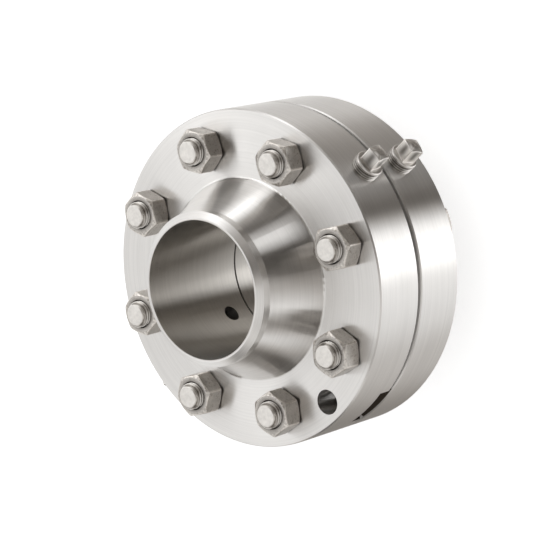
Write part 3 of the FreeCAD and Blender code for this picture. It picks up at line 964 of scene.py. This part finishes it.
def area_lamp(name, place, target, size, power):
    """A soft square lamp that faces a point. Neither the camera nor the metal sees it."""
    data = bpy.data.lights.new(name, "AREA")
    data.shape = "SQUARE"
    data.size = size
    data.energy = power
    lamp = bpy.data.objects.new(name, data)
    lamp.location = place
    lamp.rotation_euler = (Vector(target) - Vector(place)).to_track_quat("-Z", "Y").to_euler()
    lamp.visible_camera = False
    lamp.visible_glossy = False
    bpy.context.scene.collection.objects.link(lamp)


class FLANGE_OT_stage(Operator):
    """Set up the floor, the studio walls, the lamps and the camera."""

    bl_idname = "flange.stage"
    bl_label = "Stage"

    def execute(self, context):
        stage = settings("stage")
        scene = context.scene
        scene.view_settings.view_transform = "Standard"
        scene.world = white_world(stage.world_level)

        angle = np.arange(STAGE_COLUMNS) / STAGE_COLUMNS * TURN
        same = np.ones(STAGE_COLUMNS)
        spread = np.array([0.0, 0.2, 0.5, 1.0])[::-1, None] * stage.floor_size * same
        points, faces = revolved_surface(spread, 0.0, angle)
        floor = bpy.data.objects.new("floor", merged_mesh("floor", points, faces))
        floor.data.materials.append(floor_material())
        floor.visible_glossy = False

        rise = np.linspace(-math.pi / 2, math.pi / 2, STAGE_ROWS)[:, None] * same
        size = stage.walls_size
        points, faces = revolved_surface(size * np.cos(rise), size * np.sin(rise), angle)
        mesh = merged_mesh("studio_walls", points, faces[:, ::-1])
        walls = bpy.data.objects.new("studio_walls", mesh)
        walls.data.materials.append(studio_material())
        walls.visible_camera = False
        walls.visible_diffuse = False
        walls.visible_transmission = False
        walls.visible_shadow = False
        for piece in (floor, walls):
            scene.collection.objects.link(piece)

        area_lamp("key", (0.75, 1.0, 1.1), LAMP_TARGET, 1.2, stage.key_power)
        area_lamp("fill", (0.2, -1.1, 1.4), LAMP_TARGET, 1.4, stage.fill_power)

        data = bpy.data.cameras.new("camera")
        data.sensor_width = 36
        data.lens = stage.camera_lens
        camera = bpy.data.objects.new("camera", data)
        place = Vector(stage.camera_place)
        forward = (Vector(stage.camera_target) - place).normalized()
        level_up = (Vector((0, 0, 1)) - forward * forward.z).normalized()
        level_right = forward.cross(level_up)
        up = level_up * math.cos(stage.camera_roll) + level_right * math.sin(stage.camera_roll)
        right = forward.cross(up)
        turn = Matrix((right, up, -forward)).transposed()
        camera.matrix_world = Matrix.Translation(place) @ turn.to_4x4()
        scene.collection.objects.link(camera)
        scene.camera = camera
        return {"FINISHED"}


class FLANGE_PT_panel(Panel):
    """Lists the union's pieces and settings."""

    bl_idname = "FLANGE_PT_panel"
    bl_label = "Flange union"
    bl_space_type = "VIEW_3D"
    bl_region_type = "UI"
    bl_category = "Flange union"

    def draw(self, context):
        for operator in OPERATORS:
            self.layout.operator(operator.bl_idname)
        for group in GROUPS:
            box = self.layout.box()
            values = getattr(context.scene, group)
            for key in values.bl_rna.properties.keys():
                if key not in ("rna_type", "name"):
                    box.prop(values, key)


OPERATORS = (FLANGE_OT_flanges, FLANGE_OT_gasket, FLANGE_OT_studs, FLANGE_OT_nuts, FLANGE_OT_plugs,
             FLANGE_OT_stage)
GROUPS = {"steel": SteelSettings, "bolting": BoltingSettings, "plugs": PlugSettings,
          "fineness": FinenessSettings, "stage": StageSettings}


def register():
    for group, kind in GROUPS.items():
        bpy.utils.register_class(kind)
        setattr(bpy.types.Scene, group, PointerProperty(type=kind))
    for kind in (*OPERATORS, FLANGE_PT_panel):
        bpy.utils.register_class(kind)


def unregister():
    for kind in (FLANGE_PT_panel, *reversed(OPERATORS)):
        bpy.utils.unregister_class(kind)
    for group, kind in reversed(GROUPS.items()):
        delattr(bpy.types.Scene, group)
        bpy.utils.unregister_class(kind)


def main():
    """Registers the add-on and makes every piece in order."""
    register()
    bpy.ops.flange.flanges()
    bpy.ops.flange.gasket()
    bpy.ops.flange.studs()
    bpy.ops.flange.nuts()
    bpy.ops.flange.plugs()
    bpy.ops.flange.stage()


if __name__ == "__main__":
    main()
